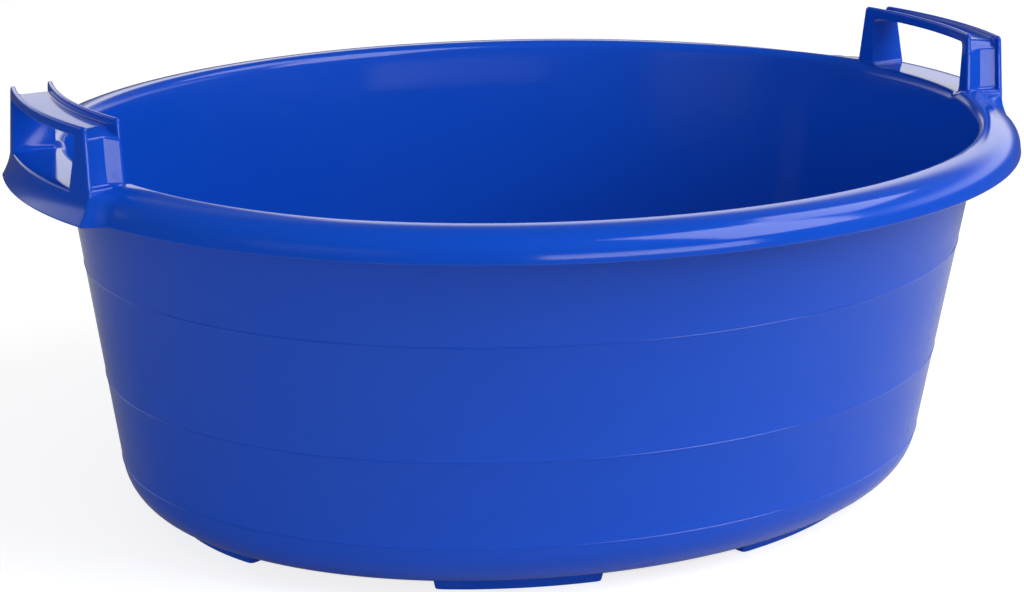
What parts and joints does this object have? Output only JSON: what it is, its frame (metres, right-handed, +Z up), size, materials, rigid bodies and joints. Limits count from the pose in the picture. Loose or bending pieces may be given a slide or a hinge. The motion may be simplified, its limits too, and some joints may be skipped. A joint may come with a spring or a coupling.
{
  "type": "oval tub",
  "caption": "Open oval moulded tub with a rolled rim, drafted side wall, upright bail handles at its ends and low feet, for feed or water.",
  "frame": {"origin": "on the ground at the middle of the tub's footprint", "axes": "+Z up, +X along the tub's length towards the right handle, +Y towards the rear"},
  "size_m": [0.7356, 0.5958, 0.3057],
  "materials": {
    "tub_floor": "smooth glossy moulded plastic, mid blue",
    "tub_wall": "smooth glossy moulded plastic, mid blue",
    "tub_rim": "glossy moulded plastic, mid blue",
    "tub_handles": "glossy moulded plastic, mid blue",
    "tub_feet": "moulded plastic, mid blue, slightly dulled by the ground"
  },
  "bodies": {
    "root": {"floor": "tub_floor", "heel_front": "tub_wall", "heel_rear": "tub_wall", "wall_front": "tub_wall", "wall_rear": "tub_wall", "rim_front": "tub_rim", "rim_rear": "tub_rim", "apron_right": "tub_handles", "apron_left": "tub_handles", "grip_right": "tub_handles", "grip_left": "tub_handles", "leg_right_front": "tub_handles", "leg_right_rear": "tub_handles", "leg_left_front": "tub_handles", "leg_left_rear": "tub_handles", "foot_right": "tub_feet", "foot_left": "tub_feet", "foot_front_right": "tub_feet", "foot_front_left": "tub_feet", "foot_rear_right": "tub_feet", "foot_rear_left": "tub_feet"}
  },
  "joints": []
}
